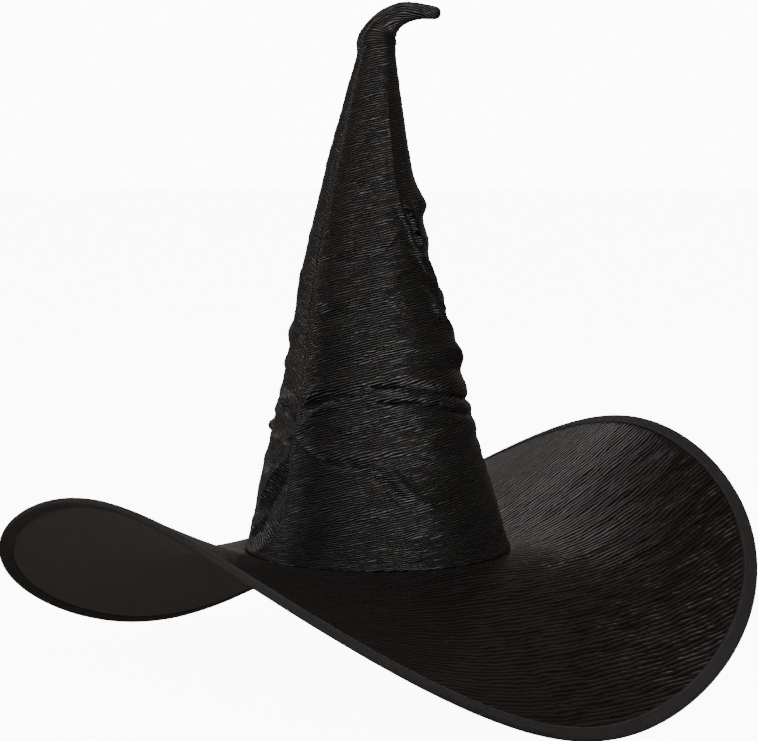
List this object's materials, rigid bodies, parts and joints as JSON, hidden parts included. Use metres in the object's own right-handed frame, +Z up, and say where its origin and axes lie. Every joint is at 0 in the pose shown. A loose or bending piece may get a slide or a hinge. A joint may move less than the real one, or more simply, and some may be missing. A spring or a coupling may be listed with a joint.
{
  "type": "witch hat",
  "caption": "Tall black crinkled-satin witch hat with a bendable wired tip, a wide wired brim curled into a saddle, tape binding, lining and sweatband",
  "frame": {"origin": "centre of the head opening, at the middle of the brim's thickness", "axes": "+Z up the crown, +X along the brim towards the side the tip points to, +Y towards the far side; the high lobes of the brim lie about 40 degrees round from +X and opposite"},
  "size_m": [0.5697, 0.5705, 0.5066],
  "materials": {
    "crinkle_satin": "black crinkled satin with a soft sheen",
    "stiffener_felt": "grey stiffening felt",
    "lining_cloth": "thin black lining",
    "under_cloth": "plain matte black cloth",
    "sweatband_cloth": "ribbed black band",
    "tape": "woven black tape",
    "wadding": "white polyester wadding",
    "wire_steel": "plain drawn wire",
    "cap_plastic": "moulded end cap"
  },
  "bodies": {
    "hat": {"crown_shell": "crinkle_satin", "crown_stiffener": "stiffener_felt", "crown_lining": "lining_cloth", "crown_seam_allowance": "crinkle_satin", "sweatband": "sweatband_cloth", "join_tape": "tape", "spine_wire": "wire_steel", "spine_wire_cap": "cap_plastic", "wire_casing": "tape", "top_wadding": "wadding", "brim_top_cloth": "crinkle_satin", "brim_stiffener": "stiffener_felt", "brim_under_cloth": "under_cloth", "brim_binding": "tape", "brim_wire": "wire_steel", "brim_wire_sleeve": "wire_steel"},
    "tip": {"tip_shell": "crinkle_satin", "tip_wadding": "wadding", "tip_wire": "wire_steel", "tip_wire_cap": "cap_plastic"}
  },
  "joints": [
    {"name": "tip_bend", "type": "hinge", "parent": "hat", "child": "tip", "pos_m": [-0.001, 0, 0.381], "axis": [0, -1, 0], "range_deg": [-15, 60]}
  ]
}
